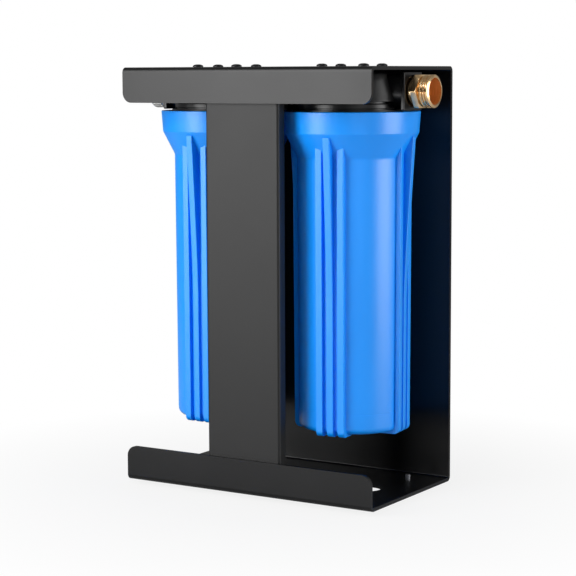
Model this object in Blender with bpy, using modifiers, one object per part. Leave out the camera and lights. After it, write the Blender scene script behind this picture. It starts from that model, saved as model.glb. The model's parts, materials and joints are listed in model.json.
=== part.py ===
"""Two-stage water filter for a motor home: two screw-on housings hung in a bent steel stand.

All lengths are in metres. X runs along the two housings, from the inlet at -X to the outlet at +X.
Y runs from the front post to the back plate. Z is up. The pieces are modelled about the middle of
the underside of the stand's floor. An empty carries them all, and puts the origin under the middle
of the whole object, at the height that its feet stand on.
"""

import math

import bmesh
import bpy
from mathutils import Matrix, Vector

# Gaps and overruns
SEAT_GAP = 0.0003  # between pieces that touch
CUT_OVERRUN = 0.002  # how far a cutter runs past the face that it opens
WELD = 0.000005  # points closer than this are one point
FLAT_ANGLE = math.radians(0.1)  # faces that meet within this angle are one face
SHARP_ANGLE = math.radians(35)  # edges that turn more than this look sharp

# Facets
SUMP_FACETS = 36
HEAD_FACETS = 32
BORE_FACETS = 24  # inside of the sumps, and their O-rings
CARTRIDGE_FACETS = 16
FITTING_FACETS = 20
SMALL_FACETS = 8
RING_FACETS = 6  # round the section of an O-ring
ARC_STEPS = 3  # flats in a rounded corner
SMALL_ARC_STEPS = 2
SMALL_ARC_RADIUS = 0.003  # a corner of this radius or less has the fewer flats

# Cartridges, the size that the housings are built round
CARTRIDGE_LENGTH = 0.248
CARTRIDGE_RADIUS = 0.03175
CORE_RADIUS = 0.014
END_CAP_HEIGHT = 0.012
END_CAP_WALL = 0.0018
GASKET_THICKNESS = 0.0024
GASKET_WIDTH = 0.006

# Seats for the cartridges in the sump and in the head
SEAT_WIDTH = 0.004
SEAT_HEIGHT = 0.003
SPIGOT_CLEARANCE = 0.0015
SPIGOT_REACH = 0.005
SPIGOT_WALL = 0.0025

# Sumps
FLOW_GAP = 0.01025  # between a cartridge and the wall of its sump
BARREL_WALL = 0.004
BARREL_DRAFT = 0.001
SUMP_FLOOR = 0.004
SUMP_FLOOR_ROUND = 0.0052
THREAD_STEP = 0.0045  # from the barrel's outside to the crest of the head's thread
THREAD_CLEARANCE = 0.0007
THREAD_LENGTH = 0.023
COLLAR_WALL = 0.0063
COLLAR_HEIGHT = 0.018
COLLAR_DRAFT = 0.0013
COLLAR_EDGE = 0.0008
COLLAR_ROUND = 0.002
COLLAR_RISE = 0.0117  # collar's top edge above the cartridge
CONE_HEIGHT = 0.02
CONE_ROUND = 0.012

# Ribs on the sumps
RIB_GROUPS = 4
RIBS_IN_GROUP = (-1, 0, 1)
RIB_WIDTH = 0.0059
RIB_SPACING = 0.0096
RIB_DEPTH = 0.0031
RIB_DRAFT = 0.0013
RIB_DROP = 0.002  # ribs stand this far below the floor of the sump
RIB_CORNER = 0.005
RIB_ROOT = 0.002  # how deep a rib runs into the wall
RIB_FOOT_LENGTH = 0.0135
RIB_TOP_SHARE = 0.7  # side ribs end this far up the cone
GUSSET_DEPTH = 0.007
GUSSET_LENGTH = 0.135
GUSSET_DROP = 0.0026  # top of a gusset below the collar
GUSSET_SHARES = ((0.0, 1.0), (0.4, 0.54), (0.72, 0.18), (1.0, 0.0))
LEFT_CLOCKING = math.radians(-2.4)
RIGHT_CLOCKING = math.radians(7.4)

# O-rings
O_RING_SECTION = 0.0019  # radius of the section
O_RING_SIDE_GAP = 0.0002
LEDGE_CLEARANCE = 0.0007  # between the sump's ledge and the head's skirt

# Heads
FLANGE_WIDTH = 0.006  # from the cavity's wall to the flange's edge
FLANGE_THICKNESS = 0.001
NECK_STEP = 0.0025  # flange to neck
NECK_HEIGHT = 0.0052
GROOVE_DEPTH = 0.002
GROOVE_HEIGHT = 0.002
BRIM_THICKNESS = 0.0005
HEAD_CONE_STEP = 0.0065  # brim to crown
HEAD_CONE_HEIGHT = 0.022
CROWN_STEP = 0.0025
CROWN_HEIGHT = 0.0027
PORT_PROUD = 0.0004  # end face of a port beyond the collar of the sump
BOSS_WALL = 0.0012
BOSS_HALF_HEIGHT = 0.015
BOSS_CORNER = 0.004
BOSS_KEEL = 0.0135  # rounding of the underside of the boss
PORT_PLATE_THICKNESS = 0.0037
PORT_PLATE_STEP = 0.0007  # edges of a port's plate beyond the boss
BOSS_LIFT = 0.0002  # underside of the boss above the flange
PASSAGE_RADIUS = 0.009
DUCT_RADIUS = 0.008  # from the seat up to the outlet
INLET_PASSAGE_SHARE = 0.58  # of the port's reach
FEED_RADIUS = 0.006
FEED_OFFSET_SHARE = 0.54  # of the port's reach

# Pipe fittings
PIPE_RADIUS = 0.013
PIPE_ENGAGEMENT = 0.015
NIPPLE_MIDDLE = 0.0096  # the part between the heads
HEX_CHAMFER = 0.001
HEX_CHAMFER_SHARE = 0.35  # of the hexagon's length, at each end
NIPPLE_HEX_STEP = 0.0012
OUTLET_STUB = 0.0044
OUTLET_HEX_WIDTH = 0.006
OUTLET_HEX_STEP = 0.0005
HOSE_NECK_LENGTH = 0.002
HOSE_NECK_RADIUS = 0.0118
HOSE_THREAD_RADIUS = 0.0135
HOSE_THREAD_LENGTH = 0.008
HOSE_THREAD_CHAMFER = 0.0008
HOSE_BORE_RADIUS = 0.011
HOSE_BORE_DEPTH = 0.012
INLET_HEX_WIDTH = 0.0045
INLET_HEX_STEP = 0.0012
TAIL_RADIUS = 0.0096
TAIL_WALL = 0.0021
TAIL_FLANGE_RADIUS = 0.0124
TAIL_FLANGE_WIDTH = 0.0018
TAIL_CLEARANCE = 0.0005
NUT_BORE = 0.0132
NUT_WALL = 0.0015
NUT_BACK_WIDTH = 0.0023
NUT_LENGTH = 0.0117
NUT_CHAMFER = 0.0007
WASHER_THICKNESS = 0.0028
WASHER_SIDE_GAP = 0.0004

# Stand
SHEET = 0.003
BEND_RADIUS = 0.0045
LIP_HEIGHT = 0.03
LIP_CORNER = 0.0088
LIP_CORNER_STEPS = 6
PORT_INSET = 0.0014  # ports' end faces lie this far inside the stand's edges
COLLAR_FRONT_CLEARANCE = 0.0118
COLLAR_BACK_CLEARANCE = 0.0072
SUMP_UNDER_CLEARANCE = 0.049
DRAIN_RADIUS = 0.0145
DRAIN_INSET = 0.043
DRAIN_FORWARD = 0.0035

# Front post
POST_WIDTH = 0.072
POST_OFFSET = -0.0028
POST_SHEET = 0.0025
POST_BEND_RADIUS = 0.004
POST_RETURN = 0.0095

# Head screws
SCREW_SPAN_X = 0.04
SCREW_SPAN_Y = 0.031
SCREW_SHANK_RADIUS = 0.0024
SCREW_LENGTH = 0.012
SCREW_HEAD_RADIUS = 0.0046
SCREW_HEAD_HEIGHT = 0.0023
SCREW_HEAD_RIM = 0.0005

# Feet
FOOT_RADIUS = 0.009
FOOT_TAPER = 0.001
FOOT_HEIGHT = 0.004
FOOT_INSET_X = 0.026
FOOT_INSET_Y = 0.029
STUD_RADIUS = 0.0024
STUD_RISE = 0.0052
STUD_SOCKET_DEPTH = 0.0025

# Radii that follow from the sizes above
BARREL_BORE = CARTRIDGE_RADIUS + FLOW_GAP
BARREL_RADIUS = BARREL_BORE + BARREL_WALL
THREAD_RADIUS = BARREL_RADIUS + THREAD_STEP
COLLAR_BORE = THREAD_RADIUS + THREAD_CLEARANCE
COLLAR_RADIUS = COLLAR_BORE + COLLAR_WALL
SEAT_RADIUS = CORE_RADIUS + SEAT_WIDTH
SPIGOT_RADIUS = CORE_RADIUS - SPIGOT_CLEARANCE
O_RING_RADIUS = (BARREL_BORE + COLLAR_BORE) / 2
PORT_REACH = COLLAR_RADIUS + PORT_PROUD  # head's axis to the end face of a port
FLANGE_RADIUS = BARREL_BORE + FLANGE_WIDTH
NECK_RADIUS = FLANGE_RADIUS - NECK_STEP
PORT_BORE = PIPE_RADIUS + SEAT_GAP
BOSS_HALF_WIDTH = PORT_BORE + BOSS_WALL
SCREW_HOLE_RADIUS = SCREW_SHANK_RADIUS + SEAT_GAP
STUD_HOLE_RADIUS = STUD_RADIUS + SEAT_GAP

# Heights that follow, from the floor of the stand up
RIB_BOTTOM = SHEET + SUMP_UNDER_CLEARANCE
SUMP_BOTTOM = RIB_BOTTOM + RIB_DROP
SUMP_INSIDE = SUMP_BOTTOM + SUMP_FLOOR
SUMP_SEAT = SUMP_INSIDE + SEAT_HEIGHT
CARTRIDGE_BOTTOM = SUMP_SEAT + SEAT_GAP
CARTRIDGE_TOP = CARTRIDGE_BOTTOM + CARTRIDGE_LENGTH
HEAD_SEAT = CARTRIDGE_TOP + SEAT_GAP
COLLAR_TOP = CARTRIDGE_TOP + COLLAR_RISE
COLLAR_BOTTOM = COLLAR_TOP - COLLAR_HEIGHT
CONE_BOTTOM = COLLAR_BOTTOM - CONE_HEIGHT
FLANGE_BOTTOM = COLLAR_TOP + SEAT_GAP
SKIRT_BOTTOM = FLANGE_BOTTOM - THREAD_LENGTH
LEDGE = SKIRT_BOTTOM - LEDGE_CLEARANCE
O_RING_CENTRE = SKIRT_BOTTOM - SEAT_GAP - O_RING_SECTION
O_RING_FLOOR = O_RING_CENTRE - O_RING_SECTION - SEAT_GAP
NECK_BOTTOM = FLANGE_BOTTOM + FLANGE_THICKNESS
PORT_AXIS = NECK_BOTTOM + BOSS_LIFT + BOSS_HALF_HEIGHT
GROOVE_BOTTOM = NECK_BOTTOM + NECK_HEIGHT
BRIM_BOTTOM = GROOVE_BOTTOM + GROOVE_HEIGHT
BRIM_TOP = BRIM_BOTTOM + BRIM_THICKNESS
CROWN_BOTTOM = BRIM_TOP + HEAD_CONE_HEIGHT
HEAD_TOP = CROWN_BOTTOM + CROWN_HEIGHT
PLATE_BOTTOM = HEAD_TOP + SEAT_GAP
STAND_HEIGHT = PLATE_BOTTOM + SHEET

# Plan of the stand and the two heads
HEAD_OFFSET = PORT_REACH + NIPPLE_MIDDLE / 2
PORT_FACE = HEAD_OFFSET + PORT_REACH
STAND_HALF_WIDTH = PORT_FACE + PORT_INSET
STAND_DEPTH = 2 * (SHEET + COLLAR_RADIUS) + COLLAR_FRONT_CLEARANCE + COLLAR_BACK_CLEARANCE
STAND_FRONT = -STAND_DEPTH / 2
STAND_BACK = STAND_DEPTH / 2
HEAD_AXIS_Y = STAND_FRONT + SHEET + COLLAR_FRONT_CLEARANCE + COLLAR_RADIUS

# Places along the fittings, from the end face of the port outwards
OUTLET_HEX_TOP = OUTLET_STUB + OUTLET_HEX_WIDTH
HOSE_THREAD_START = OUTLET_HEX_TOP + HOSE_NECK_LENGTH
HOSE_MOUTH = HOSE_THREAD_START + HOSE_THREAD_LENGTH
INLET_HEX_TOP = SEAT_GAP + INLET_HEX_WIDTH
NUT_START = INLET_HEX_TOP + SEAT_GAP
NUT_SHOULDER = NUT_START + NUT_BACK_WIDTH
NUT_MOUTH = NUT_START + NUT_LENGTH
TAIL_FLANGE_START = NUT_SHOULDER + SEAT_GAP
TAIL_FLANGE_TOP = TAIL_FLANGE_START + TAIL_FLANGE_WIDTH
WASHER_START = TAIL_FLANGE_TOP + SEAT_GAP


def clear_scene():
    for item in list(bpy.data.objects):
        bpy.data.objects.remove(item, do_unlink=True)


def new_collection(name):
    collection = bpy.data.collections.new(name)
    bpy.context.scene.collection.children.link(collection)
    return collection


clear_scene()
PARTS = new_collection("rv_water_filter_system")
CUTTERS = new_collection("cutters")


# Materials

def linear(value):
    return value / 12.92 if value <= 0.04045 else ((value + 0.055) / 1.055) ** 2.4


def material(name, colour, roughness, metallic=0.0):
    """A surface with an sRGB colour written as #rrggbb."""
    result = bpy.data.materials.get(name)
    if result:
        return result
    result = bpy.data.materials.new(name)
    result.use_nodes = True
    surface = result.node_tree.nodes["Principled BSDF"]
    channels = [linear(int(colour[start:start + 2], 16) / 255) for start in (1, 3, 5)]
    surface.inputs["Base Color"].default_value = (*channels, 1.0)
    surface.inputs["Roughness"].default_value = roughness
    surface.inputs["Metallic"].default_value = metallic
    result.diffuse_color = (*channels, 1.0)
    return result


def powder_coat():
    return material("black_powder_coated_steel", "#26262a", 0.5)


def head_plastic():
    return material("black_polypropylene", "#1b1c1f", 0.35)


def sump_plastic():
    return material("blue_polypropylene", "#1c86f2", 0.4)


def brass():
    return material("brass", "#c89a5b", 0.25, 1.0)


def nickel_plated():
    return material("nickel_plated_brass", "#b0b0ae", 0.3, 1.0)


def nitrile():
    return material("black_nitrile_rubber", "#141416", 0.6)


def spun_fibre():
    return material("white_spun_polypropylene", "#f0f0ea", 0.9)


def carbon():
    return material("carbon_block", "#202022", 0.95)


def cap_plastic():
    return material("white_polypropylene", "#e8e8e4", 0.5)


def screw_steel():
    return material("black_zinc_plated_steel", "#2b2b2e", 0.35, 0.8)


def stud_steel():
    return material("bright_zinc_plated_steel", "#b5b8bc", 0.3, 1.0)


def foot_rubber():
    return material("black_rubber", "#1a1a1a", 0.8)


# Modelling helpers

def add_object(name, mesh, collection):
    item = bpy.data.objects.new(name, mesh)
    collection.objects.link(item)
    return item


def add_part(name, mesh, surface):
    mesh.materials.clear()
    mesh.materials.append(surface)
    return add_object(name, mesh, PARTS)


def add_cutter(name, mesh):
    cutter = add_object(name, mesh, CUTTERS)
    cutter.hide_render = True
    cutter.display_type = "WIRE"
    return cutter


def combine(body, other, operation):
    modifier = body.modifiers.new(other.name, "BOOLEAN")
    modifier.operation = operation
    modifier.object = other


def cut(body, cutter):
    combine(body, cutter, "DIFFERENCE")


def fuse(body, addition):
    combine(body, addition, "UNION")


def rounded(corners):
    """Outline points from (x, y, radius) corners, each corner with a radius becoming an arc."""
    points = []
    for index, (x, y, radius) in enumerate(corners):
        corner = Vector((x, y))
        if not radius:
            points.append(corner)
            continue
        before = (Vector(corners[index - 1][:2]) - corner).normalized()
        after = (Vector(corners[(index + 1) % len(corners)][:2]) - corner).normalized()
        half = before.angle(after) / 2
        centre = corner + (before + after).normalized() * radius / math.sin(half)
        start = corner + before * radius / math.tan(half) - centre
        end = corner + after * radius / math.tan(half) - centre
        turn = math.atan2(start.cross(end), start.dot(end))
        steps = ARC_STEPS if radius > SMALL_ARC_RADIUS else SMALL_ARC_STEPS
        for step in range(steps + 1):
            points.append(centre + Matrix.Rotation(turn * step / steps, 2) @ start)
    return points


def turned(name, profile, facets, surface=None):
    """A turned solid, or a cutter where no surface is given.

    The (radius, height, corner radius) profile runs down the outer side. One that starts and ends
    on the axis is solid, and any other is closed into a ring.
    """
    points = rounded(profile)
    edges = [(index, index + 1) for index in range(len(points) - 1)]
    if profile[0][0] or profile[-1][0]:
        edges.append((len(points) - 1, 0))
    mesh = bpy.data.meshes.new(name)
    mesh.from_pydata([(x, 0, z) for x, z in points], edges, [])
    item = add_part(name, mesh, surface) if surface else add_cutter(name, mesh)
    screw = item.modifiers.new("turn", "SCREW")
    screw.steps = facets
    screw.render_steps = facets
    screw.use_merge_vertices = True
    screw.merge_threshold = WELD
    return item


def ring(name, outer, inner, bottom, top, facets, surface):
    profile = ((inner, top, 0), (outer, top, 0), (outer, bottom, 0), (inner, bottom, 0))
    return turned(name, profile, facets, surface)


def baked_mesh(item):
    """The mesh of an object after its modifiers. The object itself is removed."""
    view_layer = bpy.context.view_layer
    view_layer.update()
    mesh = bpy.data.meshes.new_from_object(item.evaluated_get(view_layer.depsgraph))
    bpy.data.objects.remove(item, do_unlink=True)
    return mesh


def merged_mesh(name, placed):
    """Several meshes, each with its matrix, as separate bodies of one mesh."""
    shape = bmesh.new()
    for single, placing in placed:
        copy = single.copy()
        copy.transform(placing)
        shape.from_mesh(copy)
        bpy.data.meshes.remove(copy)
    mesh = bpy.data.meshes.new(name)
    shape.to_mesh(mesh)
    shape.free()
    return mesh


def extruded_mesh(name, corners, thickness, placing):
    """A flat outline of rounded corners, given its thickness and then placed by a matrix."""
    curve = bpy.data.curves.new(name, "CURVE")
    curve.dimensions = "2D"
    curve.fill_mode = "BOTH"
    curve.extrude = thickness / 2
    points = rounded(corners)
    spline = curve.splines.new("POLY")
    spline.points.add(len(points) - 1)
    for target, (x, y) in zip(spline.points, points):
        target.co = (x, y, 0, 1)
    spline.use_cyclic_u = True
    mesh = baked_mesh(add_object(name, curve, CUTTERS))
    shape = bmesh.new()
    shape.from_mesh(mesh)
    bmesh.ops.remove_doubles(shape, verts=shape.verts, dist=WELD)
    bmesh.ops.dissolve_limit(shape, angle_limit=FLAT_ANGLE, verts=shape.verts, edges=shape.edges)
    bmesh.ops.transform(shape, matrix=placing, verts=shape.verts)
    bmesh.ops.recalc_face_normals(shape, faces=shape.faces)
    shape.to_mesh(mesh)
    shape.free()
    return mesh


def upright(heading=0.0):
    """Stands an outline up: its X then points along the heading, and its Y points up."""
    return Matrix.Rotation(heading, 4, "Z") @ Matrix.Rotation(math.pi / 2, 4, "X")


def rod_mesh(name, centres, radius, bottom, top, facets):
    """Vertical round rods, as separate bodies of one mesh."""
    shape = bmesh.new()
    for x, y in centres:
        place = Matrix.Translation((x, y, (bottom + top) / 2))
        bmesh.ops.create_cone(shape, cap_ends=True, segments=facets, radius1=radius,
                              radius2=radius, depth=top - bottom, matrix=place)
    mesh = bpy.data.meshes.new(name)
    shape.to_mesh(mesh)
    shape.free()
    return mesh


def drill(body, name, centres, radius, bottom, top, facets):
    """Vertical holes through a body."""
    cut(body, add_cutter(name, rod_mesh(name, centres, radius, bottom, top, facets)))


def four_places(centre_x, centre_y, span_x, span_y):
    return [(centre_x + side_x * span_x / 2, centre_y + side_y * span_y / 2)
            for side_x in (-1, 1) for side_y in (-1, 1)]


def screw_places(side):
    return four_places(side * HEAD_OFFSET, HEAD_AXIS_Y, SCREW_SPAN_X, SCREW_SPAN_Y)


def foot_places():
    span_x = 2 * (STAND_HALF_WIDTH - FOOT_INSET_X)
    return four_places(0, 0, span_x, STAND_DEPTH - 2 * FOOT_INSET_Y)


# Stand

def round_lip_corners(mesh):
    """Rounds the four free corners of the two lips."""
    shape = bmesh.new()
    shape.from_mesh(mesh)
    corners = []
    for edge in shape.edges:
        first, second = (point.co for point in edge.verts)
        through_sheet = abs(first.x - second.x) < WELD and abs(first.z - second.z) < WELD
        height = min(first.z, STAND_HEIGHT - first.z)
        if through_sheet and abs(height - LIP_HEIGHT) < WELD:
            corners.append(edge)
    bmesh.ops.bevel(shape, geom=corners, offset=LIP_CORNER, segments=LIP_CORNER_STEPS,
                    profile=0.5, affect="EDGES")
    shape.to_mesh(mesh)
    shape.free()


def stand_shell():
    """One sheet, bent to a C: lip, floor, back plate, top plate and lip."""
    inside_bend = BEND_RADIUS - SHEET
    lip_back = STAND_FRONT + SHEET
    plate_front = STAND_BACK - SHEET
    top_lip = STAND_HEIGHT - LIP_HEIGHT
    outline = (
        (STAND_FRONT, top_lip, 0), (STAND_FRONT, STAND_HEIGHT, BEND_RADIUS),
        (STAND_BACK, STAND_HEIGHT, BEND_RADIUS), (STAND_BACK, 0, BEND_RADIUS),
        (STAND_FRONT, 0, BEND_RADIUS), (STAND_FRONT, LIP_HEIGHT, 0),
        (lip_back, LIP_HEIGHT, 0), (lip_back, SHEET, inside_bend),
        (plate_front, SHEET, inside_bend), (plate_front, PLATE_BOTTOM, inside_bend),
        (lip_back, PLATE_BOTTOM, inside_bend), (lip_back, top_lip, 0),
    )
    mesh = extruded_mesh("stand_shell", outline, 2 * STAND_HALF_WIDTH, upright(math.pi / 2))
    round_lip_corners(mesh)
    shell = add_part("stand_shell", mesh, powder_coat())
    below_plate = PLATE_BOTTOM - CUT_OVERRUN
    above_plate = STAND_HEIGHT + CUT_OVERRUN
    above_floor = SHEET + CUT_OVERRUN
    drain_x = STAND_HALF_WIDTH - DRAIN_INSET
    drains = [(side * drain_x, -DRAIN_FORWARD) for side in (-1, 1)]
    drill(shell, "screw_holes", screw_places(-1) + screw_places(1), SCREW_HOLE_RADIUS,
          below_plate, above_plate, SMALL_FACETS)
    drill(shell, "drain_holes", drains, DRAIN_RADIUS, -CUT_OVERRUN, above_floor, FITTING_FACETS)
    drill(shell, "stud_holes", foot_places(), STUD_HOLE_RADIUS, -CUT_OVERRUN, above_floor,
          SMALL_FACETS)


def front_post():
    """A channel that opens to the back, held against the backs of the two lips."""
    front = STAND_FRONT + SHEET + SEAT_GAP
    back = front + POST_RETURN
    web_back = front + POST_SHEET
    outside = POST_WIDTH / 2
    inside = outside - POST_SHEET
    inside_bend = POST_BEND_RADIUS - POST_SHEET
    outline = (
        (-outside, back, 0), (-outside, front, POST_BEND_RADIUS),
        (outside, front, POST_BEND_RADIUS), (outside, back, 0),
        (inside, back, 0), (inside, web_back, inside_bend),
        (-inside, web_back, inside_bend), (-inside, back, 0),
    )
    end_gap = BEND_RADIUS - SHEET + SEAT_GAP
    bottom = SHEET + end_gap
    top = PLATE_BOTTOM - end_gap
    placing = Matrix.Translation((POST_OFFSET, 0, (bottom + top) / 2))
    mesh = extruded_mesh("front_post", outline, top - bottom, placing)
    add_part("front_post", mesh, powder_coat())


def head_screws(name, side):
    """Four dome-head screws that hold a head up against the top plate."""
    dome = SCREW_HEAD_HEIGHT - SCREW_HEAD_RIM
    profile = [(0, SCREW_HEAD_HEIGHT, 0)]
    for step in range(1, ARC_STEPS + 1):
        angle = math.pi / 2 * step / ARC_STEPS
        height = SCREW_HEAD_RIM + dome * math.cos(angle)
        profile.append((SCREW_HEAD_RADIUS * math.sin(angle), height, 0))
    profile += [
        (SCREW_HEAD_RADIUS, 0, 0), (SCREW_SHANK_RADIUS, 0, 0),
        (SCREW_SHANK_RADIUS, -SCREW_LENGTH, 0), (0, -SCREW_LENGTH, 0),
    ]
    for number, (x, y) in enumerate(screw_places(side), start=1):
        screw = turned(f"{name}_{number}", profile, SMALL_FACETS, screw_steel())
        screw.location = (x, y, STAND_HEIGHT + SEAT_GAP)


def feet():
    """Rubber feet under the floor, each on a steel stud that stands up through it."""
    names = ("front_left_foot", "back_left_foot", "front_right_foot", "back_right_foot")
    top = -SEAT_GAP
    bottom = top - FOOT_HEIGHT
    socket = top - STUD_SOCKET_DEPTH
    profile = (
        (0, socket, 0), (STUD_HOLE_RADIUS, socket, 0), (STUD_HOLE_RADIUS, top, 0),
        (FOOT_RADIUS, top, 0), (FOOT_RADIUS - FOOT_TAPER, bottom, 0), (0, bottom, 0),
    )
    for name, place in zip(names, foot_places()):
        turned(name, profile, CARTRIDGE_FACETS, foot_rubber()).location = (*place, 0)
        stud = rod_mesh(name + "_stud", [place], STUD_RADIUS, socket + SEAT_GAP,
                        SHEET + STUD_RISE, SMALL_FACETS)
        add_part(name + "_stud", stud, stud_steel())


# Heads

def along_x(item, x, heading):
    """Lays a turned object on the axis of the ports, with its height pointing to +X or -X."""
    item.rotation_euler = (0, heading * math.pi / 2, 0)
    item.location = (x, HEAD_AXIS_Y, PORT_AXIS)


def bore_port(body, name, x, heading, depth):
    """A pipe socket and the passage behind it, from the port face at x, which faces the heading."""
    socket = PIPE_ENGAGEMENT + SEAT_GAP
    profile = (
        (0, CUT_OVERRUN, 0), (PORT_BORE, CUT_OVERRUN, 0), (PORT_BORE, -socket, 0),
        (PASSAGE_RADIUS, -socket, 0), (PASSAGE_RADIUS, -depth, 0), (0, -depth, 0),
    )
    cutter = turned(name, profile, FITTING_FACETS)
    along_x(cutter, x, heading)
    cut(body, cutter)


def port_bar(name, x, length, step, top_corner, bottom_corner):
    """A bar along the axis of the ports, with its middle at x and its sides a step off the boss's."""
    half_width = BOSS_HALF_WIDTH + step
    half_height = BOSS_HALF_HEIGHT + step
    outline = (
        (-half_width, -half_height, bottom_corner), (half_width, -half_height, bottom_corner),
        (half_width, half_height, top_corner), (-half_width, half_height, top_corner),
    )
    placing = Matrix.Translation((x, HEAD_AXIS_Y, PORT_AXIS)) @ upright(math.pi / 2)
    return add_cutter(name, extruded_mesh(name, outline, length, placing))


def add_port_boss(body, name, x):
    """The round-bottomed boss that carries both ports of a head, with a square plate at each end."""
    fuse(body, port_bar(name, x, 2 * PORT_REACH - PORT_PLATE_THICKNESS, 0, BOSS_CORNER, BOSS_KEEL))
    for end, heading in (("inlet", -1), ("outlet", 1)):
        middle = x + heading * (PORT_REACH - PORT_PLATE_THICKNESS / 2)
        fuse(body, port_bar(f"{name}_{end}_plate", middle, PORT_PLATE_THICKNESS, PORT_PLATE_STEP,
                            0, 0))


def head(name, side):
    """A moulded head: cone, neck and threaded skirt, with a port at each end and a seat inside."""
    crown = FLANGE_RADIUS - HEAD_CONE_STEP
    groove = NECK_RADIUS - GROOVE_DEPTH
    spigot_end = HEAD_SEAT - SPIGOT_REACH
    profile = (
        (0, HEAD_TOP, 0), (crown - CROWN_STEP, HEAD_TOP, 0), (crown, CROWN_BOTTOM, 0),
        (FLANGE_RADIUS, BRIM_TOP, 0), (FLANGE_RADIUS, BRIM_BOTTOM, 0),
        (groove, BRIM_BOTTOM, 0), (groove, GROOVE_BOTTOM, 0), (NECK_RADIUS, GROOVE_BOTTOM, 0),
        (NECK_RADIUS, NECK_BOTTOM, 0), (FLANGE_RADIUS, NECK_BOTTOM, 0),
        (FLANGE_RADIUS, FLANGE_BOTTOM, 0), (THREAD_RADIUS, FLANGE_BOTTOM, 0),
        (THREAD_RADIUS, SKIRT_BOTTOM, 0), (BARREL_BORE, SKIRT_BOTTOM, 0),
        (BARREL_BORE, FLANGE_BOTTOM, 0), (SEAT_RADIUS, FLANGE_BOTTOM, 0),
        (SEAT_RADIUS, HEAD_SEAT, 0), (SPIGOT_RADIUS, HEAD_SEAT, 0),
        (SPIGOT_RADIUS, spigot_end, 0), (0, spigot_end, 0),
    )
    x = side * HEAD_OFFSET
    body = turned(name, profile, HEAD_FACETS, head_plastic())
    body.location = (x, HEAD_AXIS_Y, 0)
    add_port_boss(body, name + "_boss", x)
    bore_port(body, name + "_inlet", x - PORT_REACH, -1, INLET_PASSAGE_SHARE * PORT_REACH)
    bore_port(body, name + "_outlet", x + PORT_REACH, 1, PORT_REACH + CUT_OVERRUN)
    feed = [(x - FEED_OFFSET_SHARE * PORT_REACH, HEAD_AXIS_Y)]
    drill(body, name + "_feed", feed, FEED_RADIUS, FLANGE_BOTTOM - CUT_OVERRUN, PORT_AXIS,
          SMALL_FACETS)
    drill(body, name + "_duct", [(x, HEAD_AXIS_Y)], DUCT_RADIUS, spigot_end - CUT_OVERRUN,
          PORT_AXIS, FITTING_FACETS)
    drill(body, name + "_screw_bores", screw_places(side), SCREW_HOLE_RADIUS,
          STAND_HEIGHT - SCREW_LENGTH, HEAD_TOP + CUT_OVERRUN, SMALL_FACETS)


# Sumps

def rib_mesh(name, gusset):
    """One rib, standing on the X axis with its foot at height zero.

    A gusset flares the rib out under the collar.
    """
    tip_high = BARREL_RADIUS + RIB_DEPTH
    tip_low = tip_high - RIB_DRAFT
    root = BARREL_RADIUS - RIB_ROOT
    foot_top = RIB_DROP + RIB_ROOT
    foot_end = tip_low - RIB_CORNER - RIB_FOOT_LENGTH
    side_top = CONE_BOTTOM + RIB_TOP_SHARE * CONE_HEIGHT - RIB_BOTTOM
    outline = [(foot_end, 0, 0), (tip_low, 0, RIB_CORNER)]
    if gusset:
        top = COLLAR_BOTTOM - GUSSET_DROP - RIB_BOTTOM
        for fall_share, depth_share in reversed(GUSSET_SHARES):
            height = top - fall_share * GUSSET_LENGTH
            tip = tip_low + RIB_DRAFT * height / side_top
            outline.append((tip + depth_share * GUSSET_DEPTH, height, 0))
    else:
        top = side_top
        outline.append((tip_high, top, 0))
    outline += [
        (root, top, 0), (root, foot_top + RIB_CORNER, 0), (root - RIB_CORNER, foot_top, 0),
        (foot_end, foot_top, 0),
    ]
    return extruded_mesh(name, outline, RIB_WIDTH, upright())


def rib_set(name, clocking):
    """All ribs of a sump, in groups of parallel ribs. The middle rib of each has a gusset."""
    plain = rib_mesh(name + "_plain", False)
    flared = rib_mesh(name + "_flared", True)
    placed = []
    for group in range(RIB_GROUPS):
        heading = clocking - math.pi / 2 + 2 * math.pi * group / RIB_GROUPS
        for place in RIBS_IN_GROUP:
            shift = Matrix.Translation((0, place * RIB_SPACING, 0))
            single = plain if place else flared
            placed.append((single, Matrix.Rotation(heading, 4, "Z") @ shift))
    return add_cutter(name, merged_mesh(name, placed))


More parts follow.
